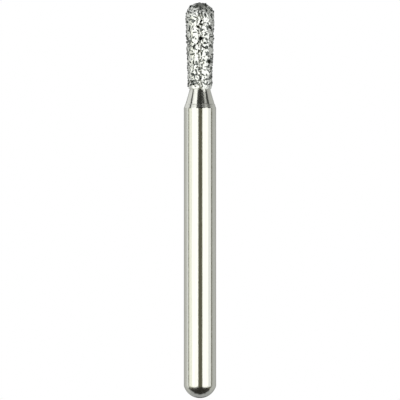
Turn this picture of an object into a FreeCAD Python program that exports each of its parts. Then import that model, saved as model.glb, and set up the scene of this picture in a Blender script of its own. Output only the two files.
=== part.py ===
import FreeCAD, Part
import math
import os
import random
import Sketcher
from FreeCAD import Placement, Rotation, Vector

# Diamond dental bur with a friction-grip shank, in millimetres.
# It stands on its axis: z = 0 is the lowest point of the domed shank end, and the head is up.
# Three pieces: the steel blank, the nickel plated round its core, and the grit in the nickel.

doc = FreeCAD.newDocument("DentalBur")

# Driving sizes
DRIVING_SIZES = (
    ("shank_diameter", 1.6, "friction-grip shank, ground"),
    ("shank_length", 14.33, "domed end to the rounded shoulder"),
    ("dome_height", 0.609, "domed shank end, up to its edge with the cylinder"),
    ("shoulder_height", 0.12, "height of the rounded shoulder"),
    ("shoulder_drop", 0.027, "radius lost over the rounded shoulder"),
    ("band_height", 0.115, "short turned band above the shoulder"),
    ("band_drop", 0.034, "radius lost over the band"),
    ("step_height", 0.01, "small turned step above the band"),
    ("step_drop", 0.0165, "radius lost over the step"),
    ("cone_height", 0.692, "foot of the cone to its corner with the neck"),
    ("cone_hollow_radius", 24.0, "slight hollow of the cone's side"),
    ("neck_diameter", 1.04, "plain neck, and foot of the head's core"),
    ("neck_length", 0.103, "bare neck below the coating"),
    ("head_length", 4.25, "lower edge of the coating to the tip of the grit"),
    ("head_diameter", 1.44, "widest place of the head, over the grit"),
    ("bond_thickness", 0.045, "nickel plated round the core"),
    ("bond_edge", 0.02, "bevel where the plating ends on the neck"),
    ("grit_exposure", 0.04, "height of the tallest grains above the nickel"),
    ("grain_width", 0.118, "medium grit, across the widest grains"),
    ("grain_gap", 0.012, "least way between two grains"),
)
sizes = doc.addObject("Spreadsheet::Sheet", "Sizes")
for row, (alias, size, meaning) in enumerate(DRIVING_SIZES, start=1):
    sizes.set("A%d" % row, alias)
    sizes.set("B%d" % row, str(size))
    sizes.set("C%d" % row, meaning)
    sizes.setAlias("B%d" % row, alias)
doc.recompute()

# Radii of the blank, from the shank to the neck
SHANK_RADIUS = "Sizes.shank_diameter / 2"
SHOULDER_RADIUS = SHANK_RADIUS + " - Sizes.shoulder_drop"
BAND_RADIUS = SHOULDER_RADIUS + " - Sizes.band_drop"
STEP_RADIUS = BAND_RADIUS + " - Sizes.step_drop"
NECK_RADIUS = "Sizes.neck_diameter / 2"

# Levels on the axis, from the shank end up
SHOULDER_FOOT = "Sizes.shank_length"
BAND_FOOT = SHOULDER_FOOT + " + Sizes.shoulder_height"
STEP_FOOT = BAND_FOOT + " + Sizes.band_height"
CONE_FOOT = STEP_FOOT + " + Sizes.step_height"
NECK_FOOT = CONE_FOOT + " + Sizes.cone_height"
HEAD_FOOT = NECK_FOOT + " + Sizes.neck_length"

# The core and the plating, measured from the coating's lower edge
COATING = "(Sizes.bond_thickness + Sizes.grit_exposure)"
CORE_RADIUS = "(Sizes.head_diameter / 2 - %s)" % COATING
CORE_LENGTH = "(Sizes.head_length - %s)" % COATING
BOND_RADIUS = "(%s + Sizes.bond_thickness)" % CORE_RADIUS

# How a sketch counts the ends of its lines and arcs, its own origin and its upright axis
START_INDEX = 1
END_INDEX = 2
CENTRE_INDEX = 3
ORIGIN_INDEX = (-1, START_INDEX)
AXIS_INDEX = -2

# The grains
GRAIN_SEED = 1797
GOLDEN_ANGLE = math.pi * (3 - math.sqrt(5))
GOLDEN_COVER_SHARE = 2 / math.sqrt(5)
CORNERS_PER_LAYER = 3
LEAST_WIDTH_SHARE = 0.8
LEAST_TOP_SHARE = 0.35
MOST_TOP_SHARE = 0.7
LEAST_HEIGHT_SHARE = 0.55
CORNER_WANDER = math.radians(14)


def value(expression):
    """Work out an expression of the driving sizes."""
    return float(sizes.evalExpression(expression))


def point(radius, level):
    """Place in an upright sketch, from expressions of its radius and its level."""
    return Vector(value(radius), value(level), 0)


class Profile:
    """Half outline of a turned piece, drawn in the body's own upright plane."""

    def __init__(self, body, name):
        self.sketch = body.newObject("Sketcher::SketchObject", name)
        upright = next(o for o in body.Origin.OriginFeatures if o.Role == "XZ_Plane")
        self.sketch.AttachmentSupport = [(upright, "")]
        self.sketch.MapMode = "FlatFace"

    def line(self, start, end):
        """Straight stretch of the outline."""
        return self.sketch.addGeometry(Part.LineSegment(start, end), False)

    def arc(self, centre, start, end):
        """Round stretch of the outline, from start to end against the clock."""
        reach = start - centre
        turn = end - centre
        first = math.atan2(reach.y, reach.x)
        last = math.atan2(turn.y, turn.x)
        circle = Part.Circle(centre, Vector(0, 0, 1), reach.Length)
        return self.sketch.addGeometry(Part.ArcOfCircle(circle, first, last), False)

    def relate(self, kind, *where):
        """Relation without a size, such as two ends that meet."""
        self.sketch.addConstraint(Sketcher.Constraint(kind, *where))

    def measure(self, name, kind, where, expression):
        """Dimension tied to the driving sizes."""
        start_value = value(expression)
        index = self.sketch.addConstraint(Sketcher.Constraint(kind, *where, start_value))
        self.sketch.renameConstraint(index, name)
        self.sketch.setExpression("Constraints." + name, expression)

    def place(self, name, where, radius, level):
        """Put one end of a line or arc at a radius and a level."""
        self.measure(name + "_radius", "DistanceX", (*ORIGIN_INDEX, *where), radius)
        self.measure(name + "_level", "DistanceY", (*ORIGIN_INDEX, *where), level)

    def revolve(self, body, name):
        """Turn the outline once round the axis."""
        turned = body.newObject("PartDesign::Revolution", name)
        turned.Profile = self.sketch
        turned.ReferenceAxis = (self.sketch, ["V_Axis"])
        turned.Angle = 360


def tangent_place(foot, centre, radius):
    """Where a line from foot touches the circle on its outer side."""
    reach = foot - centre
    lean = math.asin(radius / reach.Length) - math.atan2(foot.x, centre.y - foot.y)
    return centre + Vector(math.cos(lean), -math.sin(lean), 0) * radius


def head_outline(profile, foot_level, radius, foot, name):
    """Core of the head: a slow taper from its foot that runs into a round cap."""
    top_level = "%s + %s" % (foot_level, CORE_LENGTH)
    centre_level = "%s - %s" % (top_level, radius)
    centre = point("0", centre_level)
    touch = tangent_place(foot, centre, value(radius))
    taper = profile.line(foot, touch)
    cap = profile.arc(centre, touch, point("0", top_level))
    profile.relate("Tangent", taper, END_INDEX, cap, START_INDEX)
    profile.relate("PointOnObject", cap, CENTRE_INDEX, AXIS_INDEX)
    profile.relate("PointOnObject", cap, END_INDEX, AXIS_INDEX)
    profile.measure(name + "_cap_radius", "Radius", (cap,), radius)
    profile.measure(name + "_top_level", "DistanceY", (*ORIGIN_INDEX, cap, END_INDEX), top_level)
    return taper, cap


def make_blank():
    """Steel blank: domed end, shank, shoulder, band, step, cone, neck and core in one turning."""
    body = doc.addObject("PartDesign::Body", "SteelBlank")
    body.Label = "steel_blank"
    profile = Profile(body, "BlankProfile")

    dome_edge = point(SHANK_RADIUS, "Sizes.dome_height")
    shank_top = point(SHANK_RADIUS, SHOULDER_FOOT)
    shoulder_top = point(SHOULDER_RADIUS, BAND_FOOT)
    band_top = point(BAND_RADIUS, STEP_FOOT)
    step_top = point(STEP_RADIUS, CONE_FOOT)
    neck_foot = point(NECK_RADIUS, NECK_FOOT)
    neck_top = point(NECK_RADIUS, HEAD_FOOT)

    dome_radius = dome_edge.Length ** 2 / (2 * dome_edge.y)
    dome = profile.arc(Vector(0, dome_radius, 0), Vector(), dome_edge)
    shank = profile.line(dome_edge, shank_top)
    profile.relate("Coincident", dome, START_INDEX, *ORIGIN_INDEX)
    profile.relate("PointOnObject", dome, CENTRE_INDEX, AXIS_INDEX)
    profile.relate("Coincident", dome, END_INDEX, shank, START_INDEX)
    profile.relate("Vertical", shank)
    profile.measure("dome_height", "DistanceY", (*ORIGIN_INDEX, shank, START_INDEX), "Sizes.dome_height")
    profile.place("shank_top", (shank, END_INDEX), SHANK_RADIUS, SHOULDER_FOOT)

    rounding = shoulder_top - shank_top
    shoulder_radius = rounding.Length ** 2 / (-2 * rounding.x)
    shoulder = profile.arc(shank_top - Vector(shoulder_radius, 0, 0), shank_top, shoulder_top)
    band = profile.line(shoulder_top, band_top)
    step = profile.line(band_top, step_top)
    profile.relate("Tangent", shank, END_INDEX, shoulder, START_INDEX)
    profile.place("shoulder_top", (shoulder, END_INDEX), SHOULDER_RADIUS, BAND_FOOT)
    profile.relate("Coincident", shoulder, END_INDEX, band, START_INDEX)
    profile.place("band_top", (band, END_INDEX), BAND_RADIUS, STEP_FOOT)
    profile.relate("Coincident", band, END_INDEX, step, START_INDEX)
    profile.place("step_top", (step, END_INDEX), STEP_RADIUS, CONE_FOOT)

    side = neck_foot - step_top
    hollow_radius = value("Sizes.cone_hollow_radius")
    hollow_reach = math.sqrt(hollow_radius ** 2 - (side.Length / 2) ** 2)
    outward = Vector(side.y, -side.x, 0).normalize()
    hollow_centre = (step_top + neck_foot) / 2 + outward * hollow_reach
    cone = profile.arc(hollow_centre, neck_foot, step_top)
    neck = profile.line(neck_foot, neck_top)
    profile.relate("Coincident", step, END_INDEX, cone, END_INDEX)
    profile.relate("Coincident", cone, START_INDEX, neck, START_INDEX)
    profile.relate("Vertical", neck)
    profile.measure("cone_hollow_radius", "Radius", (cone,), "Sizes.cone_hollow_radius")
    profile.place("neck_foot", (neck, START_INDEX), NECK_RADIUS, NECK_FOOT)
    profile.measure("neck_top", "DistanceY", (*ORIGIN_INDEX, neck, END_INDEX), HEAD_FOOT)

    taper, cap = head_outline(profile, HEAD_FOOT, CORE_RADIUS, neck_top, "core")
    axis = profile.line(point("0", "%s + %s" % (HEAD_FOOT, CORE_LENGTH)), Vector())
    profile.relate("Coincident", neck, END_INDEX, taper, START_INDEX)
    profile.relate("Coincident", cap, END_INDEX, axis, START_INDEX)
    profile.relate("Coincident", axis, END_INDEX, *ORIGIN_INDEX)

    profile.revolve(body, "BlankTurning")
    return body


def make_bond():
    """Nickel bond: a shell of one thickness round the core, bevelled where it ends on the neck."""
    body = doc.addObject("PartDesign::Body", "NickelBond")
    body.Label = "nickel_bond"
    profile = Profile(body, "BondProfile")

    core_foot = point(NECK_RADIUS, "0")
    taper, cap = head_outline(profile, "0", CORE_RADIUS, core_foot, "core")
    profile.place("core_foot", (taper, START_INDEX), NECK_RADIUS, "0")

    centre = point("0", "%s - %s" % (CORE_LENGTH, CORE_RADIUS))
    outer_touch = tangent_place(core_foot, centre, value(CORE_RADIUS)) - centre
    outer_touch = centre + outer_touch * (value(BOND_RADIUS) / value(CORE_RADIUS))
    edge = value("Sizes.bond_edge")
    bevel_top = core_foot + Vector(value("Sizes.bond_thickness"), edge, 0)
    bevel_foot = bevel_top - Vector(edge, edge, 0)
    outer_top = point("0", "%s + Sizes.bond_thickness" % CORE_LENGTH)
    axis = profile.line(point("0", CORE_LENGTH), outer_top)
    outer_cap = profile.arc(centre, outer_touch, outer_top)
    outer_taper = profile.line(outer_touch, bevel_top)
    bevel = profile.line(bevel_top, bevel_foot)
    foot = profile.line(bevel_foot, core_foot)
    profile.relate("Coincident", cap, END_INDEX, axis, START_INDEX)
    profile.relate("Coincident", axis, END_INDEX, outer_cap, END_INDEX)
    profile.relate("Coincident", cap, CENTRE_INDEX, outer_cap, CENTRE_INDEX)
    profile.relate("PointOnObject", outer_cap, END_INDEX, AXIS_INDEX)
    profile.measure("bond_radius", "Radius", (outer_cap,), BOND_RADIUS)
    profile.relate("Tangent", outer_cap, START_INDEX, outer_taper, START_INDEX)
    profile.relate("Parallel", taper, outer_taper)
    profile.relate("Coincident", outer_taper, END_INDEX, bevel, START_INDEX)
    profile.relate("Coincident", bevel, END_INDEX, foot, START_INDEX)
    profile.relate("Coincident", foot, END_INDEX, taper, START_INDEX)
    profile.relate("Horizontal", foot)
    profile.measure("bevel_width", "DistanceX", (bevel, END_INDEX, bevel, START_INDEX), "Sizes.bond_edge")
    profile.measure("bevel_height", "DistanceY", (bevel, END_INDEX, bevel, START_INDEX), "Sizes.bond_edge")

    profile.revolve(body, "BondTurning")
    body.setExpression("Placement.Base.z", HEAD_FOOT)
    return body


def make_grain(chance, width, height):
    """Irregular eight-sided grain of diamond, flat where it sits on the nickel."""
    reach = width / 2
    step = 2 * math.pi / CORNERS_PER_LAYER
    seat = []
    crown = []
    for corner in range(CORNERS_PER_LAYER):
        angle = corner * step + chance.uniform(-CORNER_WANDER, CORNER_WANDER)
        arm = reach * chance.uniform(LEAST_WIDTH_SHARE, 1)
        seat.append(Vector(arm * math.cos(angle), arm * math.sin(angle), 0))
        angle = (corner + 0.5) * step + chance.uniform(-CORNER_WANDER, CORNER_WANDER)
        arm = reach * chance.uniform(LEAST_TOP_SHARE, MOST_TOP_SHARE)
        top = height * chance.uniform(LEAST_HEIGHT_SHARE, 1)
        crown.append(Vector(arm * math.cos(angle), arm * math.sin(angle), top))
    corners = [seat[::-1], crown]
    for near in range(CORNERS_PER_LAYER):
        far = (near + 1) % CORNERS_PER_LAYER
        corners.append([seat[near], seat[far], crown[near]])
        corners.append([crown[near], seat[far], crown[far]])
    faces = [Part.Face(Part.makePolygon([*outline, outline[0]])) for outline in corners]
    return Part.Solid(Part.Shell(faces))


def grain_seats(width, spacing):
    """Places on the nickel and their outward directions, each with the same area about it."""
    centre = value("%s - %s" % (CORE_LENGTH, CORE_RADIUS))
    core = value(CORE_RADIUS)
    radius = value(BOND_RADIUS)
    foot = Vector(value(NECK_RADIUS), 0, 0)
    touch = tangent_place(foot, Vector(0, centre, 0), core)
    lean = math.atan2(touch.x - foot.x, touch.y - foot.y)
    across = Vector(math.cos(lean), -math.sin(lean), 0)
    along = Vector(math.sin(lean), math.cos(lean), 0)
    first = foot + across * (radius - core) + along * (value("Sizes.bond_edge") + width / 2)
    last = Vector(0, centre, 0) + across * radius
    slope = (last - first).Length
    taper_area = math.pi * (first.x + last.x) * slope
    cap_area = 2 * math.pi * radius ** 2 * (1 + math.sin(lean))
    count = int((taper_area + cap_area) * GOLDEN_COVER_SHARE / spacing ** 2)
    for place in range(count):
        area = (taper_area + cap_area) * (place + 0.5) / count
        if area < taper_area:
            growth = (last.x - first.x) * area / (math.pi * slope)
            way = area / (math.pi * (first.x + math.sqrt(first.x ** 2 + growth)))
            spot = first + along * way
            lift = -lean
        else:
            rise = (area - taper_area) / (2 * math.pi * radius ** 2) - math.sin(lean)
            lift = math.asin(rise)
            spot = Vector(radius * math.cos(lift), centre + radius * rise, 0)
        turn = Rotation(Vector(0, 0, 1), math.degrees(place * GOLDEN_ANGLE))
        seat = turn.multVec(Vector(spot.x, 0, spot.y))
        outward = turn.multVec(Vector(math.cos(lift), 0, math.sin(lift)))
        yield seat, outward


def make_grit():
    """Diamond grit: the grains seated evenly over the nickel, each turned and broken in its own way."""
    chance = random.Random(GRAIN_SEED)
    width = value("Sizes.grain_width")
    height = value("Sizes.grit_exposure")
    grains = []
    for seat, outward in grain_seats(width, value("Sizes.grain_width + Sizes.grain_gap")):
        stand = Rotation(Vector(0, 0, 1), outward)
        spin = Rotation(Vector(0, 0, 1), chance.uniform(0, 360))
        grain = make_grain(chance, width, height)
        grain.Placement = Placement(seat, stand.multiply(spin))
        grains.append(grain)
    grit = doc.addObject("Part::Feature", "DiamondGrit")
    grit.Label = "diamond_grit"
    grit.Shape = Part.makeCompound(grains)
    grit.setExpression("Placement.Base.z", HEAD_FOOT)
    return grit


pieces = (make_blank(), make_bond(), make_grit())
doc.recompute()

for item in doc.Objects:
    if "Invalid" in item.State or "Error" in item.State:
        raise RuntimeError("%s failed: %s" % (item.Label, item.State))
for piece in pieces:
    if piece.Shape.isNull() or not piece.Shape.isValid():
        raise RuntimeError("%s has no valid shape" % piece.Label)

os.makedirs("parts", exist_ok=True)
for piece in pieces:
    piece.Shape.exportStep("parts/%s.step" % piece.Label)
    box = piece.Shape.BoundBox
    print(piece.Label, len(piece.Shape.Solids), round(piece.Shape.Volume, 5),
          [round(n, 4) for n in (box.XMin, box.XMax, box.YMin, box.YMax, box.ZMin, box.ZMax)])
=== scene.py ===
"""Diamond dental bur: its surfaces, its plated grit and a plain studio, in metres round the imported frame."""

import logging
import math
from dataclasses import dataclass, field
from enum import Enum

import bmesh
import bpy
import numpy as np
from mathutils import Matrix, Vector
from mathutils.kdtree import KDTree
from mathutils.noise import noise


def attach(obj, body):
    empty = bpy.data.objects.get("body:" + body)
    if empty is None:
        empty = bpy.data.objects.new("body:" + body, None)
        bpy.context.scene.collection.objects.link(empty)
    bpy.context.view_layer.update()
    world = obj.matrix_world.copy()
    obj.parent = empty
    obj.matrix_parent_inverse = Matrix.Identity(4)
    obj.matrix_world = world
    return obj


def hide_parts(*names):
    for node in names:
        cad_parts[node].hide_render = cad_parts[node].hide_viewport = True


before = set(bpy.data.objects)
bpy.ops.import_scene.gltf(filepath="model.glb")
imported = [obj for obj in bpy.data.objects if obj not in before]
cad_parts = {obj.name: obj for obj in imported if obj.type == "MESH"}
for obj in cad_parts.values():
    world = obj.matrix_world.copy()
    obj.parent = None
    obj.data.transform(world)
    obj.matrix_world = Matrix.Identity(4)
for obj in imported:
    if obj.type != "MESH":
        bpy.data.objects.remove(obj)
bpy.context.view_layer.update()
MM = 0.001
LOG = logging.getLogger("dental_bur")

# Radius and level of a point of an outline, or the least and the most of a span.
Pair = tuple[float, float]


class Body(Enum):
    """CAD bodies that pieces ride on."""

    ROOT = "root"


class Slot(Enum):
    """Material slots of the record."""

    GROUND_STEEL = "ground_steel"
    PLATED_NICKEL = "plated_nickel"
    DIAMOND = "diamond"


def linear(hex_colour: str) -> tuple[float, float, float, float]:
    """Turn an sRGB hex colour into linear red, green, blue and alpha.

    Args:
        hex_colour: six hex digits, such as "C8C8C0".

    Returns:
        The linear colour with an alpha of 1.
    """
    channels = [int(hex_colour[place:place + 2], 16) / 255 for place in (0, 2, 4)]
    red, green, blue = (c / 12.92 if c <= 0.04045 else ((c + 0.055) / 1.055) ** 2.4 for c in channels)
    return red, green, blue, 1.0


def add_node(tree: bpy.types.NodeTree, kind: str, settings: dict | None = None,
             inputs: dict | None = None) -> bpy.types.Node:
    """Add a node with its settings, values and links.

    Args:
        tree: node tree that gets the node.
        kind: the node's type name.
        settings: attributes of the node.
        inputs: for each input's name or place, a value or the socket that feeds it.

    Returns:
        The new node.
    """
    node = tree.nodes.new(kind)
    for name, setting in (settings or {}).items():
        setattr(node, name, setting)
    for name, given in (inputs or {}).items():
        if isinstance(given, bpy.types.NodeSocket):
            tree.links.new(given, node.inputs[name])
        else:
            node.inputs[name].default_value = given
    return node


def new_material(name: str) -> tuple[bpy.types.Material, bpy.types.NodeTree]:
    """Make a material without nodes.

    Args:
        name: the material's name.

    Returns:
        The material and its node tree.
    """
    material = bpy.data.materials.new(name)
    material.use_nodes = True
    material.node_tree.nodes.clear()
    return material, material.node_tree


@dataclass(frozen=True)
class GroundSteel:
    """Hardened stainless steel, centreless ground: a neutral metal, bright and slightly soft.

    The wheel's fine marks run round the rod, so a reflection is drawn out along it. Slight flats
    along the rod split each reflection into upright lines. The turned band below the cone is a
    little duller than the rest.
    """

    colour: str = "C5C6C0"
    dull_colour: str = "B5B6AE"
    roughness: float = 0.16
    roughness_spread: float = 0.05
    anisotropy: float = 0.55
    # A quarter of a turn draws reflections out along the rod, not round it.
    anisotropy_turn: float = 0.25
    band_level: float = 14.51 * MM
    band_reach: float = 0.055 * MM
    band_roughness: float = 0.22
    # Real grinding marks are far too fine to show. These flats are about two pixels wide.
    flat_width: float = 0.09 * MM
    flat_length: float = 4.0 * MM
    flat_depth: float = 0.0006 * MM
    flat_detail: float = 2.0

    def material(self) -> bpy.types.Material:
        """Build the material: flats that vary tone, gloss and slope, and a duller band.

        Returns:
            The material.
        """
        material, tree = new_material("centreless_ground_stainless_steel")
        place = add_node(tree, "ShaderNodeTexCoord").outputs["Object"]
        squeeze = (1, 1, self.flat_width / self.flat_length)
        drawn = add_node(tree, "ShaderNodeVectorMath", {"operation": "MULTIPLY"}, {0: place, 1: squeeze})
        flats = add_node(tree, "ShaderNodeTexNoise", {"noise_dimensions": "3D"},
                         {"Vector": drawn.outputs[0], "Scale": 1 / self.flat_width,
                          "Detail": self.flat_detail}).outputs[0]
        tone = add_node(tree, "ShaderNodeMix", {"data_type": "RGBA"},
                        {"Factor": flats, "A": linear(self.dull_colour), "B": linear(self.colour)})
        level = add_node(tree, "ShaderNodeSeparateXYZ", inputs={0: place}).outputs["Z"]
        band = add_node(tree, "ShaderNodeMath", {"operation": "COMPARE"},
                        {0: level, 1: self.band_level, 2: self.band_reach})
        plain_gloss = add_node(tree, "ShaderNodeMapRange", inputs={
            "Value": flats,
            "To Min": self.roughness - self.roughness_spread,
            "To Max": self.roughness + self.roughness_spread})
        gloss = add_node(tree, "ShaderNodeMath", {"operation": "MULTIPLY_ADD"},
                         {0: band.outputs[0], 1: self.band_roughness - self.roughness,
                          2: plain_gloss.outputs[0]})
        bump = add_node(tree, "ShaderNodeBump", inputs={
            "Height": flats, "Distance": self.flat_depth, "Strength": 1.0})
        round_rod = add_node(tree, "ShaderNodeTangent", {"direction_type": "RADIAL", "axis": "Z"})
        shader = add_node(tree, "ShaderNodeBsdfPrincipled", inputs={
            "Base Color": tone.outputs["Result"], "Metallic": 1.0, "Roughness": gloss.outputs[0],
            "Anisotropic": self.anisotropy, "Anisotropic Rotation": self.anisotropy_turn,
            "Normal": bump.outputs[0], "Tangent": round_rod.outputs[0]})
        add_node(tree, "ShaderNodeOutputMaterial", inputs={"Surface": shader.outputs[0]})
        return material


@dataclass(frozen=True)
class PlatedNickel:
    """Nickel, electroplated: satin, nearly neutral, and the brightest surface of the head.

    It shows as a pale network between the grains, too soft for sharp reflections.
    """

    colour: str = "D8DAD7"
    shadow_colour: str = "B6B8B3"
    roughness: float = 0.24
    roughness_spread: float = 0.05
    # Real nodules are a few thousandths of a millimetre wide. These are coarser, to show in close views.
    nodule_width: float = 0.02 * MM
    nodule_height: float = 0.0015 * MM
    nodule_detail: float = 3.0

    def material(self) -> bpy.types.Material:
        """Build the material: nodules that vary tone, gloss and slope.

        Returns:
            The material.
        """
        material, tree = new_material("electroplated_nickel")
        place = add_node(tree, "ShaderNodeTexCoord").outputs["Object"]
        nodules = add_node(tree, "ShaderNodeTexNoise", {"noise_dimensions": "3D"},
                           {"Vector": place, "Scale": 1 / self.nodule_width,
                            "Detail": self.nodule_detail}).outputs[0]
        tone = add_node(tree, "ShaderNodeMix", {"data_type": "RGBA"},
                        {"Factor": nodules, "A": linear(self.shadow_colour), "B": linear(self.colour)})
        gloss = add_node(tree, "ShaderNodeMapRange", inputs={
            "Value": nodules,
            "To Min": self.roughness - self.roughness_spread,
            "To Max": self.roughness + self.roughness_spread})
        bump = add_node(tree, "ShaderNodeBump", inputs={
            "Height": nodules, "Distance": self.nodule_height, "Strength": 1.0})
        shader = add_node(tree, "ShaderNodeBsdfPrincipled", inputs={
            "Base Color": tone.outputs["Result"], "Metallic": 1.0, "Roughness": gloss.outputs[0],
            "Normal": bump.outputs[0]})
        add_node(tree, "ShaderNodeOutputMaterial", inputs={"Surface": shader.outputs[0]})
        return material


@dataclass(frozen=True)
class CrushedDiamond:
    """Diamond, crushed to grit and clear to faintly green, with glossy broken faces.

    Its colour is painted shade: a clear crystal shows the shaded nickel behind it, so each is drawn as that
    metal in a dark grey-green tone, with a crystal's gloss. Only the faint tint that differs from crystal to
    crystal is the diamond's own. This gives dark strokes in the pale network, and now and then a glint.
    """

    # Painted shade: both tones are the dark of the shaded nickel seen through a crystal, and differ only by
    # the crystal's own faint tint.
    clear_crystal_shade_colour: str = "6C706D"
    tinted_crystal_shade_colour: str = "3C403D"
    roughness: float = 0.07
    refraction: float = 2.42
    # Metallic share: the crystal is drawn as the shaded metal that shows through it.
    backing: float = 1.0

    def material(self) -> bpy.types.Material:
        """Build the material, with one painted-shade tone for each crystal.

        Returns:
            The material.
        """
        material, tree = new_material("crushed_diamond")
        crystal = add_node(tree, "ShaderNodeNewGeometry").outputs["Random Per Island"]
        tone = add_node(tree, "ShaderNodeMix", {"data_type": "RGBA"},
                        {"Factor": crystal, "A": linear(self.clear_crystal_shade_colour), "B": linear(self.tinted_crystal_shade_colour)})
        shader = add_node(tree, "ShaderNodeBsdfPrincipled", inputs={
            "Base Color": tone.outputs["Result"], "Metallic": self.backing,
            "Roughness": self.roughness, "IOR": self.refraction})
        add_node(tree, "ShaderNodeOutputMaterial", inputs={"Surface": shader.outputs[0]})
        return material


def mesh_piece(name: str, mesh: bpy.types.Mesh, material: bpy.types.Material) -> bpy.types.Object:
    """Put a mesh in the scene as an object with one material.

    Args:
        name: the object's name.
        mesh: its shape.
        material: its finish.

    Returns:
        The new object.
    """
    piece = bpy.data.objects.new(name, mesh)
    bpy.context.scene.collection.objects.link(piece)
    mesh.materials.append(material)
    return piece


def dress(piece: bpy.types.Object, node: str) -> None:
    """Let a piece stand for a CAD node and ride on the body.

    Args:
        piece: the visual piece.
        node: the CAD node that it replaces.
    """
    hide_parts(node)
    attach(piece, Body.ROOT.value)


def lathe(name: str, outline: list[Pair], around: int, crease_degrees: float) -> bpy.types.Mesh:
    """Turn an outline that starts and ends on the axis.

    Args:
        name: the mesh's name.
        outline: radius and level of each point, with the solid on the left of the way.
        around: points in each ring.
        crease_degrees: least angle between faces at which their edge stays sharp.

    Returns:
        The closed mesh: the rings in order, then the first and the last point of the outline.
    """
    angles = np.linspace(0, 2 * math.pi, around, endpoint=False)
    rings = np.array(outline[1:-1])
    across = np.column_stack((np.cos(angles), np.sin(angles)))
    body = np.empty((len(rings), around, 3))
    body[:, :, :2] = rings[:, None, None, 0] * across[None]
    body[:, :, 2] = rings[:, None, 1]
    first_pole = len(rings) * around
    last_pole = first_pole + 1
    points = [*body.reshape(-1, 3).tolist(), (0, 0, outline[0][1]), (0, 0, outline[-1][1])]
    faces = []
    for side in range(around):
        following = (side + 1) % around
        last_ring = first_pole - around
        faces.append((first_pole, following, side))
        faces.append((last_pole, last_ring + side, last_ring + following))
        for ring in range(len(rings) - 1):
            low = ring * around
            high = low + around
            faces.append((low + side, low + following, high + following, high + side))
    mesh = bpy.data.meshes.new(name)
    mesh.from_pydata(points, [], faces)
    mesh.shade_smooth()
    mesh.set_sharp_from_angle(angle=math.radians(crease_degrees))
    return mesh


def arc(centre: Pair, radius: float, first: float, last: float, steps: int) -> list[Pair]:
    """Trace an arc of an outline.

    Args:
        centre: radius and level of the arc's centre.
        radius: the arc's own radius.
        first: angle of its first point above the horizon, in radians.
        last: angle of its last point.
        steps: number of straight stretches.

    Returns:
        Its points, ends included.
    """
    angles = np.linspace(first, last, steps + 1)
    return [(centre[0] + radius * math.cos(a), centre[1] + radius * math.sin(a)) for a in angles]


def rounded(before: Pair, corner: Pair, after: Pair, reach: float, steps: int) -> list[Pair]:
    """Round a corner of an outline with a curve that touches both of its sides.

    Args:
        before: a point on the side that leads to the corner.
        corner: the sharp corner.
        after: a point on the side that leaves it.
        reach: distance from the corner at which the curve starts and ends.
        steps: number of straight stretches.

    Returns:
        The curve's points, ends included.
    """
    here = Vector(corner)
    back = (Vector(before) - here).normalized() * reach
    on = (Vector(after) - here).normalized() * reach
    shares = np.linspace(0, 1, steps + 1)
    return [tuple(here + back * (1 - s) ** 2 + on * s ** 2) for s in shares]


def facing(lift: float, azimuth: float) -> Vector:
    """Unit vector at an angle above the horizon and a turn about the axis, both in radians."""
    return Vector((math.cos(lift) * math.cos(azimuth), math.cos(lift) * math.sin(azimuth), math.sin(lift)))


@dataclass
class HeadForm:
    """Form of the head: a slow taper that runs into a round cap, for the core and its nickel."""

    foot_radius: float = 0.52 * MM
    foot_level: float = 15.37 * MM
    cap_radius: float = 0.635 * MM
    cap_level: float = 18.9 * MM
    nickel_thickness: float = 0.045 * MM
    lean: float = field(init=False)
    taper_length: float = field(init=False)

    def __post_init__(self) -> None:
        """Work out the taper's lean, in radians, and its length from the foot to the cap."""
        rise = self.cap_level - self.foot_level
        reach = math.hypot(self.foot_radius, rise)
        self.lean = math.asin(self.cap_radius / reach) - math.atan2(self.foot_radius, rise)
        self.taper_length = math.sqrt(reach ** 2 - self.cap_radius ** 2)

    def length(self, offset: float) -> float:
        """Way along the surface at an offset from the core, from the foot to the pole."""
        return self.taper_length + (self.cap_radius + offset) * (math.pi / 2 + self.lean)

    def spot(self, way: float, offset: float) -> tuple[Pair, float]:
        """Find a place on the surface.

        Args:
            way: distance along the surface at that offset, from the foot.
            offset: distance out from the core.

        Returns:
            Radius and level, and the outward direction's angle above the horizon.
        """
        if way < self.taper_length:
            out = self.foot_radius + math.cos(self.lean) * offset + math.sin(self.lean) * way
            level = self.foot_level - math.sin(self.lean) * offset + math.cos(self.lean) * way
            return (out, level), -self.lean
        radius = self.cap_radius + offset
        lift = -self.lean + (way - self.taper_length) / radius
        return (radius * math.cos(lift), self.cap_level + radius * math.sin(lift)), lift


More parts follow.
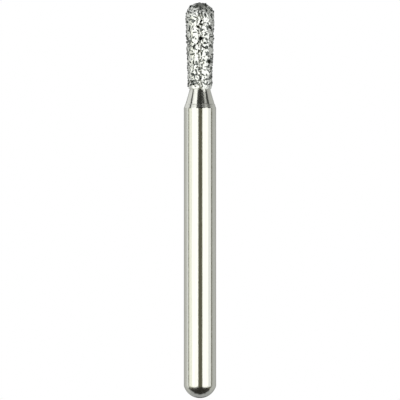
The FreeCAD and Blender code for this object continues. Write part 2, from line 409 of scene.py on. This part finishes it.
@dataclass
class SteelBlank:
    """The turned and ground blank, from the domed end to the head's core."""

    form: HeadForm
    shank_radius: float = 0.8 * MM
    shank_length: float = 14.33 * MM
    dome_height: float = 0.609 * MM
    shoulder_height: float = 0.12 * MM
    shoulder_drop: float = 0.027 * MM
    band_height: float = 0.115 * MM
    band_drop: float = 0.034 * MM
    step_height: float = 0.01 * MM
    step_drop: float = 0.0165 * MM
    cone_height: float = 0.692 * MM
    cone_hollow_radius: float = 24.0 * MM
    edge_round: float = 0.012 * MM
    step_round: float = 0.004 * MM
    neck_round: float = 0.1 * MM
    neck_waist: float = 0.012 * MM
    dome_steps: int = 36
    cone_steps: int = 14
    cap_steps: int = 14
    edge_steps: int = 4
    neck_steps: int = 8
    around: int = 224
    crease_degrees: float = 30.0

    def dome(self) -> list[Pair]:
        """Trace the domed end.

        Returns:
            Points from its lowest one, on the axis, to the shank's edge.
        """
        radius = (self.shank_radius ** 2 + self.dome_height ** 2) / (2 * self.dome_height)
        turn = math.asin(self.shank_radius / radius)
        return arc((0, radius), radius, -math.pi / 2, -math.pi / 2 + turn, self.dome_steps)

    def shoulder(self, foot: Pair, top: Pair) -> list[Pair]:
        """Trace the rounded shoulder, which leaves the shank without an edge.

        Args:
            foot: the shank's upper end.
            top: the band's lower edge.

        Returns:
            Points from the foot to the top.
        """
        drop, rise = foot[0] - top[0], top[1] - foot[1]
        radius = (drop ** 2 + rise ** 2) / (2 * drop)
        return arc((foot[0] - radius, foot[1]), radius, 0, math.asin(rise / radius), self.edge_steps)

    def cone(self, foot: Pair, top: Pair) -> list[Pair]:
        """Trace the slightly hollow cone.

        Args:
            foot: the step's upper edge.
            top: the neck's foot.

        Returns:
            Points from the foot to the top.
        """
        chord = Vector(top) - Vector(foot)
        middle = (Vector(foot) + Vector(top)) / 2
        outward = Vector((chord.y, -chord.x)).normalized()
        reach = math.sqrt(self.cone_hollow_radius ** 2 - (chord.length / 2) ** 2)
        centre = middle + outward * reach
        spokes = [Vector(end) - centre for end in (foot, top)]
        first, last = (math.atan2(spoke.y, spoke.x) % (2 * math.pi) for spoke in spokes)
        return arc(tuple(centre), self.cone_hollow_radius, first, last, self.cone_steps)

    def core(self) -> list[Pair]:
        """Trace the core's cap.

        Returns:
            Points from the taper's top, short of the one on the axis.
        """
        ways = np.linspace(self.form.taper_length, self.form.length(0), self.cap_steps + 1)
        return [self.form.spot(way, 0)[0] for way in ways[:-1]]

    def outline(self) -> list[Pair]:
        """Trace half of the blank.

        Returns:
            Radius and level of each point, from the lowest one of the dome to the core's top.
        """
        heights = (self.shank_length, self.shoulder_height, self.band_height, self.step_height,
                   self.cone_height)
        drops = (0, self.shoulder_drop, self.band_drop, self.step_drop)
        *levels, neck_level = np.cumsum(heights).tolist()
        radii = (self.shank_radius - np.cumsum(drops)).tolist()
        shank_top, shoulder_top, band_top, step_top = zip(radii, levels)
        neck_foot = (self.form.foot_radius, neck_level)
        neck_top = (self.form.foot_radius - self.neck_waist, self.form.foot_level)
        dome = self.dome()
        shoulder = self.shoulder(shank_top, shoulder_top)
        cone = self.cone(step_top, neck_foot)
        return [
            *dome[:-1],
            *rounded(dome[-2], dome[-1], shank_top, self.edge_round, self.edge_steps),
            *shoulder[:-1],
            *rounded(shoulder[-2], shoulder_top, band_top, self.edge_round, self.edge_steps),
            *rounded(shoulder_top, band_top, step_top, self.step_round, self.edge_steps),
            *rounded(band_top, step_top, cone[1], self.step_round, self.edge_steps),
            *[spot for spot in cone[1:-1] if spot[1] < neck_level - self.neck_round],
            *rounded(cone[-2], neck_foot, neck_top, self.neck_round, self.neck_steps),
            neck_top,
            (self.form.foot_radius, self.form.foot_level),
            *self.core(),
            (0, self.form.cap_level + self.form.cap_radius),
        ]

    def build(self) -> bpy.types.Object:
        """Turn the blank and dress it in ground steel.

        Returns:
            The piece.
        """
        mesh = lathe("ground_blank", self.outline(), self.around, self.crease_degrees)
        piece = mesh_piece("ground_blank", mesh, GroundSteel().material())
        dress(piece, "steel_blank")
        return piece


@dataclass(frozen=True)
class Grain:
    """One crystal: its size, where it sits on the nickel and which way it faces."""

    width: float
    height: float
    place: Vector
    outward: Vector


@dataclass
class Plating:
    """Nickel plated round the core, in slow ripples, with a small mound round each grain."""

    form: HeadForm
    edge_bevel: float = 0.012 * MM
    lip_drop: float = 0.04 * MM
    # Way up from the rim over which mounds and ripples grow to their full height.
    rim_fade: float = 0.024 * MM
    # Reach of a mound as a share of its grain's width. Only the nearest grains raise one.
    mound_reach: float = 0.75
    mound_height: float = 0.02 * MM
    mound_grains: int = 2
    # Ripples of plated nickel, about three pixels wide.
    ripple_width: float = 0.15 * MM
    ripple_height: float = 0.018 * MM
    mesh_step: float = 0.0146 * MM
    inner_steps: int = 10
    around: int = 292
    crease_degrees: float = 50.0

    def outline(self) -> tuple[list[Pair], list[float]]:
        """Trace half of the plain shell, without mounds and ripples.

        Returns:
            Radius and level of each point, down the inside and up the outside, and for each point
            of the outside but the last the outward direction's angle above the horizon.
        """
        thickness = self.form.nickel_thickness
        core_top = self.form.cap_level + self.form.cap_radius
        cap_ways = np.linspace(self.form.taper_length, self.form.length(0), self.inner_steps + 1)[:-1]
        inside = [self.form.spot(way, 0)[0] for way in (-self.lip_drop, *cap_ways)]
        length = self.form.length(thickness)
        steps = int(length / self.mesh_step)
        ways = np.linspace(-self.lip_drop + self.edge_bevel, length, steps)[:-1]
        outside, lifts = zip(*(self.form.spot(way, thickness) for way in ways))
        rim = (outside[0][0] - self.edge_bevel, inside[0][1])
        points = [(0, core_top), *reversed(inside), rim, *outside, (0, core_top + thickness)]
        return points, list(lifts)

    def rise(self, place: Vector, seats: KDTree, grains: list[Grain]) -> float:
        """Work out how far mounds and ripples lift the nickel.

        Args:
            place: a point of the plain shell.
            seats: the grains' places, to find the nearest.
            grains: the grains in the same order.

        Returns:
            Height above the plain shell, below zero in a ripple's trough.
        """
        ripple = self.ripple_height * noise(place / self.ripple_width)
        mound = 0.0
        for _, index, distance in seats.find_n(place, self.mound_grains):
            reach = grains[index].width * self.mound_reach
            if distance < reach:
                mound = max(mound, self.mound_height * (1 - (distance / reach) ** 2) ** 2)
        return ripple + mound

    def mesh(self, grains: list[Grain]) -> bpy.types.Mesh:
        """Turn the shell and lift its outside, less and less towards the rim.

        Args:
            grains: the crystals that it holds.

        Returns:
            The closed mesh.
        """
        outline, lifts = self.outline()
        mesh = lathe("plated_nickel", outline, self.around, self.crease_degrees)
        seats = KDTree(len(grains))
        for index, grain in enumerate(grains):
            seats.insert(grain.place, index)
        seats.balance()
        first_ring = len(outline) - 2 - len(lifts)
        for ring, lift in enumerate(lifts):
            share = min(1.0, ring * self.mesh_step / self.rim_fade)
            for side in range(self.around):
                vertex = mesh.vertices[(first_ring + ring) * self.around + side]
                outward = facing(lift, 2 * math.pi * side / self.around)
                vertex.co += outward * self.rise(vertex.co, seats, grains) * share
        return mesh

    def build(self, grains: list[Grain]) -> bpy.types.Object:
        """Plate the core and dress the shell in nickel.

        Args:
            grains: the crystals that it holds.

        Returns:
            The piece.
        """
        piece = mesh_piece("plated_nickel", self.mesh(grains), PlatedNickel().material())
        dress(piece, "nickel_bond")
        return piece


@dataclass
class Grit:
    """Crushed diamond: long broken crystals, laid at random on the nickel, which holds their roots."""

    form: HeadForm
    bare_rim: float = 0.01 * MM
    spacing: float = 0.137 * MM
    least_width: float = 0.125 * MM
    most_width: float = 0.34 * MM
    # Above 1, narrow grains outnumber wide ones.
    width_bias: float = 1.5
    least_stand: float = 0.01 * MM
    most_stand: float = 0.047 * MM
    throws: int = 24000
    draws_per_throw: int = 6
    least_corners: int = 3
    most_corners: int = 5
    # Share of the way to the next corner by which a corner may stray.
    corner_shift: float = 0.25
    lean_degrees: float = 12.0
    # Breadth of a crystal as a share of its length.
    breadth: Pair = (0.3, 0.78)
    # Reach of the top's and the waist's corners as a share of half the length.
    top_reach: Pair = (0.55, 0.85)
    waist_reach: Pair = (0.9, 1.05)
    # Level of the waist's corners as a share of the height.
    waist_level: Pair = (0.0, 0.2)
    # Reach of the root as a share of the waist's, and its depth as a share of the nickel's thickness.
    root_reach: float = 0.8
    root_depth: float = 0.8
    seed: int = 4417

    def scatter(self) -> list[Grain]:
        """Throw grains on the nickel and keep each that lands no nearer to another than the spacing.

        A throw draws its way up the head, the chance that evens out the narrower rings, its turn,
        width and height, and one number that is left over.

        Returns:
            The grains, in the order of the throws.
        """
        chance = np.random.default_rng(self.seed)
        length = self.form.length(self.form.nickel_thickness)
        widest = self.form.cap_radius + self.form.nickel_thickness
        places = np.empty((0, 3))
        grains = []
        for along, odds, turn, size, stand, _ in chance.random((self.throws, self.draws_per_throw)):
            width = self.least_width + (self.most_width - self.least_width) * size ** self.width_bias
            rim = self.bare_rim + width / 2
            way = rim + along * (length - rim)
            (radius, level), lift = self.form.spot(way, self.form.nickel_thickness)
            if odds > radius / widest:
                continue
            azimuth = turn * 2 * math.pi
            place = np.array((radius * math.cos(azimuth), radius * math.sin(azimuth), level))
            if len(places) and np.min(np.sum((places - place) ** 2, axis=1)) < self.spacing ** 2:
                continue
            places = np.vstack((places, place))
            height = self.least_stand + (self.most_stand - self.least_stand) * stand
            grains.append(Grain(width, height, Vector(place), facing(lift, azimuth)))
        return grains

    def crystal(self, grain: Grain, chance: np.random.Generator) -> bmesh.types.BMesh:
        """Build one broken crystal: a leaning top, broken flanks and a root in the nickel.

        Args:
            grain: where it sits and how large it is.
            chance: source of the crystal's own shape.

        Returns:
            The closed crystal, in place.
        """
        corners = int(chance.integers(self.least_corners, self.most_corners + 1))
        reach = grain.width / 2
        lean = chance.normal(0, math.tan(math.radians(self.lean_degrees)), 2)
        spin = Matrix.Rotation(chance.uniform(0, 2 * math.pi), 3, "Z")
        turn = grain.outward.to_track_quat("Z", "Y").to_matrix() @ spin
        breadth = chance.uniform(*self.breadth)
        root_level = -self.form.nickel_thickness * self.root_depth
        solid = bmesh.new()
        for corner in range(corners):
            angle = 2 * math.pi * (corner + chance.uniform(-self.corner_shift, self.corner_shift)) / corners
            arm = reach * chance.uniform(*self.top_reach)
            top = Vector((arm * math.cos(angle), arm * math.sin(angle) * breadth, 0))
            top.z = grain.height + top.x * lean[0] + top.y * lean[1]
            angle += math.pi / corners
            arm = reach * chance.uniform(*self.waist_reach)
            waist = Vector((arm * math.cos(angle), arm * math.sin(angle) * breadth,
                            grain.height * chance.uniform(*self.waist_level)))
            root = Vector((waist.x * self.root_reach, waist.y * self.root_reach, root_level))
            for point in (top, waist, root):
                solid.verts.new(grain.place + turn @ point)
        hull = bmesh.ops.convex_hull(solid, input=solid.verts)
        buried = dict.fromkeys(hull["geom_interior"] + hull["geom_unused"])
        loose = [part for part in buried if isinstance(part, bmesh.types.BMVert)]
        bmesh.ops.delete(solid, geom=loose, context="VERTS")
        return solid

    def mesh(self, grains: list[Grain]) -> bpy.types.Mesh:
        """Build all crystals into one mesh.

        Args:
            grains: the crystals to build.

        Returns:
            The mesh, with each crystal closed in itself.
        """
        chance = np.random.default_rng(self.seed + 1)
        points, faces = [], []
        for grain in grains:
            solid = self.crystal(grain, chance)
            solid.verts.index_update()
            start = len(points)
            points.extend(vertex.co.copy() for vertex in solid.verts)
            faces.extend([start + vertex.index for vertex in face.verts] for face in solid.faces)
            solid.free()
        mesh = bpy.data.meshes.new("crushed_diamond")
        mesh.from_pydata(points, [], faces)
        return mesh

    def build(self, grains: list[Grain]) -> bpy.types.Object:
        """Seat the crystals and dress them in diamond.

        Args:
            grains: the crystals to build.

        Returns:
            The piece.
        """
        piece = mesh_piece("crushed_diamond", self.mesh(grains), CrushedDiamond().material())
        dress(piece, "diamond_grit")
        return piece


def direction(azimuth: float, elevation: float) -> Vector:
    """Unit vector to an azimuth from the camera's side to the right and an elevation, in degrees."""
    turn, lift = math.radians(azimuth), math.radians(elevation)
    return Vector((math.sin(turn) * math.cos(lift), -math.cos(turn) * math.cos(lift), math.sin(lift)))


# Elevations, in degrees, of the row of cards that the shank shows in the photograph's view.
SHANK_ROW: Pair = (-41, 12)


@dataclass(frozen=True)
class Card:
    """Studio card that only reflections see: its span round the object, in degrees, and its tone."""

    name: str
    azimuths: Pair
    elevations: Pair
    tone: str
    distance: float = 0.4
    strength: float = 1.0


@dataclass(frozen=True)
class Softbox:
    """Large soft lamp: its span round the object, in degrees, and its brightness."""

    name: str
    azimuths: Pair
    elevations: Pair
    brightness: float
    distance: float = 0.3


@dataclass
class Studio:
    """Plain studio: two softboxes, dark and pale cards, a pale floor and a white background.

    Each card is one stripe or patch of the reflections in the steel and the nickel.
    """

    # Brightness of the background in diffuse light, where it isn't seen.
    fill: float = 0.35
    floor_radius: float = 0.12
    floor_sides: int = 96
    floor_colour: str = "E8E8E6"
    floor_glow: float = 0.45
    # Span of the square picture and level of its middle, as in the photograph.
    picture_width: float = 19.828 * MM
    picture_centre: float = 9.82 * MM
    camera_distance: float = 0.1
    clip_start: float = 1.0 * MM
    card_columns: int = 24
    card_rows: int = 12
    softboxes: tuple[Softbox, ...] = (
        Softbox("left_softbox", (-61, -12.5), (-41, 46), 1.9),
        Softbox("right_softbox", (17.2, 60), (-41, 29), 1.9),
    )
    cards: tuple[Card, ...] = (
        Card("low_front", (-105, 105), (-62, -41), "3A3833", 0.35),
        Card("under_front", (-122, 122), (-76, -62), "3A3833", 0.35),
        Card("nadir", (-180, 180), (-90, -76), "3A3833", 0.35),
        Card("front", (-93, 97), SHANK_ROW, "797763"),
        Card("high_front", (-89, 84), (12, 60), "383834"),
        Card("gap_top", (-28, 39), (20, 40), "383834", 0.25),
        Card("right_upper", (41, 62), (28, 40), "9C9C98", 0.35),
        Card("left_seam", (-66, -61), (-38, 12), "FFFFF3", 0.35, 1.45),
        Card("left_seam_high", (-74, -61), (12, 46), "FFFFFF", 0.35, 1.5),
        Card("left_flank", (-76, -66), (-35, 12), "FFFFF3", 0.35, 1.75),
        Card("left_edge", (-88, -76), (-31, 12), "FFFFF3", 0.35, 1.3),
        Card("right_flank", (60, 73), (-36, 15), "FFFFFF", 0.35, 1.55),
        Card("right_edge", (73, 87), (-31, 15), "FFFFFF", 0.35, 1.4),
        Card("left_side", (-112, -93), (-29, 12), "FFFFFF", 0.4, 1.25),
        Card("left_low", (-112, -93), (-41, -29), "8C8C88"),
        Card("left_back", (-140, -112), SHANK_ROW, "EAEAE6"),
        Card("left_rear", (-168, -140), SHANK_ROW, "C8C8C6"),
        Card("left_high", (-168, -89), (12, 34), "FFFFFF", 0.4, 1.25),
        Card("left_top", (-168, -89), (34, 60), "A4A4A4"),
        Card("left_cap", (-58, -22), (44, 64), "FFFFFF", 0.35),
        Card("right_cap", (18, 62), (40, 58), "FFFFFF", 0.35, 1.2),
        Card("right_brow", (62, 98), (34, 58), "E8E8E4", 0.35),
        Card("left_brow", (-98, -74), (34, 58), "E0E0DC", 0.35),
        Card("right_back", (97, 140), SHANK_ROW, "E6E6E4"),
        Card("right_rear", (140, 168), SHANK_ROW, "C4C4C2"),
        Card("right_high", (84, 168), (12, 28), "E4E4E2"),
        Card("right_top", (84, 168), (28, 60), "8A8E8A"),
        Card("rear", (168, 192), (-41, 60), "707070"),
        Card("low_back", (90, 270), (-90, -41), "CCCCCE"),
        Card("ceiling", (-180, 180), (60, 90), "848480"),
    )

    def add_softbox(self, box: Softbox) -> None:
        """Hang a softbox upright at its distance, facing the object.

        Args:
            box: its span, brightness and distance.
        """
        half_turn = math.radians(box.azimuths[1] - box.azimuths[0]) / 2
        low, high = (box.distance * math.tan(math.radians(edge)) for edge in box.elevations)
        middle = direction((box.azimuths[0] + box.azimuths[1]) / 2, 0) * box.distance
        lamp = bpy.data.lights.new(box.name, "AREA")
        lamp.shape = "RECTANGLE"
        lamp.size = 2 * box.distance * math.tan(half_turn)
        lamp.size_y = high - low
        # Power in watts at which the lamp's face has its brightness.
        lamp.energy = box.brightness * math.pi * lamp.size * lamp.size_y
        holder = bpy.data.objects.new(box.name, lamp)
        holder.location = middle + Vector((0, 0, self.picture_centre + (low + high) / 2))
        holder.rotation_euler = (middle * -1).to_track_quat("-Z", "Y").to_euler()
        holder.visible_camera = False
        bpy.context.scene.collection.objects.link(holder)

    def add_card(self, card: Card) -> None:
        """Stand a card, part of a sphere round the object, that gives its tone to reflections alone.

        Args:
            card: its span, tone, distance and strength.
        """
        turns = np.linspace(*card.azimuths, self.card_columns + 1)
        lifts = np.linspace(*card.elevations, self.card_rows + 1)
        centre = Vector((0, 0, self.picture_centre))
        points = [centre + direction(turn, lift) * card.distance for lift in lifts for turn in turns]
        faces = []
        for row in range(self.card_rows):
            for column in range(self.card_columns):
                low = row * len(turns) + column
                high = low + len(turns)
                faces.append((low, low + 1, high + 1, high))
        mesh = bpy.data.meshes.new(card.name)
        mesh.from_pydata(points, [], faces)
        material, tree = new_material("studio_card")
        glow = add_node(tree, "ShaderNodeEmission", inputs={
            "Color": linear(card.tone), "Strength": card.strength})
        add_node(tree, "ShaderNodeOutputMaterial", inputs={"Surface": glow.outputs[0]})
        holder = mesh_piece(card.name, mesh, material)
        holder.visible_camera = False
        holder.visible_diffuse = False
        holder.visible_shadow = False

    def add_floor(self) -> None:
        """Lay the pale floor, which shows white to the camera and keeps the object's shadow."""
        mesh = bpy.data.meshes.new("floor")
        turns = np.linspace(0, 2 * math.pi, self.floor_sides, endpoint=False)
        rim = [(math.cos(turn) * self.floor_radius, math.sin(turn) * self.floor_radius, 0) for turn in turns]
        mesh.from_pydata(rim, [], [tuple(range(self.floor_sides))])
        material, tree = new_material("pale_floor")
        matt = add_node(tree, "ShaderNodeBsdfDiffuse", inputs={"Color": linear(self.floor_colour)})
        seen = add_node(tree, "ShaderNodeLightPath").outputs["Is Camera Ray"]
        level = add_node(tree, "ShaderNodeMath", {"operation": "MULTIPLY"}, {0: seen, 1: self.floor_glow})
        glow = add_node(tree, "ShaderNodeEmission", inputs={"Strength": level.outputs[0]})
        both = add_node(tree, "ShaderNodeAddShader", inputs={0: matt.outputs[0], 1: glow.outputs[0]})
        add_node(tree, "ShaderNodeOutputMaterial", inputs={"Surface": both.outputs[0]})
        floor = mesh_piece("floor", mesh, material)
        # Reflections see the low cards in its place.
        floor.visible_glossy = False
        floor.visible_shadow = False

    def add_world(self) -> None:
        """Set up a background that is white to the camera and in reflections, and a soft fill elsewhere."""
        world = bpy.data.worlds.new("studio")
        world.use_nodes = True
        tree = world.node_tree
        tree.nodes.clear()
        path = add_node(tree, "ShaderNodeLightPath").outputs
        direct = add_node(tree, "ShaderNodeMath", {"operation": "ADD"},
                          {0: path["Is Camera Ray"], 1: path["Is Glossy Ray"]})
        seen = add_node(tree, "ShaderNodeMath", {"operation": "ADD", "use_clamp": True},
                        {0: direct.outputs[0], 1: path["Is Transmission Ray"]})
        level = add_node(tree, "ShaderNodeMapRange", inputs={
            "Value": seen.outputs[0], "To Min": self.fill, "To Max": 1.0})
        white = add_node(tree, "ShaderNodeBackground", inputs={
            "Color": (1, 1, 1, 1), "Strength": level.outputs[0]})
        add_node(tree, "ShaderNodeOutputWorld", inputs={"Surface": white.outputs[0]})
        bpy.context.scene.world = world

    def add_camera(self) -> None:
        """Set up the camera: level, square on and without perspective, as the photograph is."""
        lens = bpy.data.cameras.new("camera")
        lens.type = "ORTHO"
        lens.ortho_scale = self.picture_width
        lens.clip_start = self.clip_start
        holder = bpy.data.objects.new("camera", lens)
        holder.location = (0, -self.camera_distance, self.picture_centre)
        holder.rotation_euler = (math.pi / 2, 0, 0)
        bpy.context.scene.collection.objects.link(holder)
        bpy.context.scene.camera = holder

    def build(self) -> None:
        """Set up lamps, cards, floor, background and camera."""
        for box in self.softboxes:
            self.add_softbox(box)
        for card in self.cards:
            self.add_card(card)
        self.add_floor()
        self.add_world()
        self.add_camera()
        bpy.context.scene.view_settings.view_transform = "Standard"


def main() -> None:
    """Build the bur's pieces, then the studio."""
    logging.basicConfig(level=logging.INFO, format="%(message)s")
    form = HeadForm()
    grit = Grit(form)
    grains = grit.scatter()
    LOG.info("grains seated: %d", len(grains))
    for piece in (SteelBlank(form).build(), Plating(form).build(grains), grit.build(grains)):
        triangles = sum(len(face.vertices) - 2 for face in piece.data.polygons)
        LOG.info("%s: %d triangles", piece.name, triangles)
    studio = Studio()
    studio.build()
    LOG.info("studio: %d softboxes and %d cards", len(studio.softboxes), len(studio.cards))


if __name__ == "__main__":
    main()
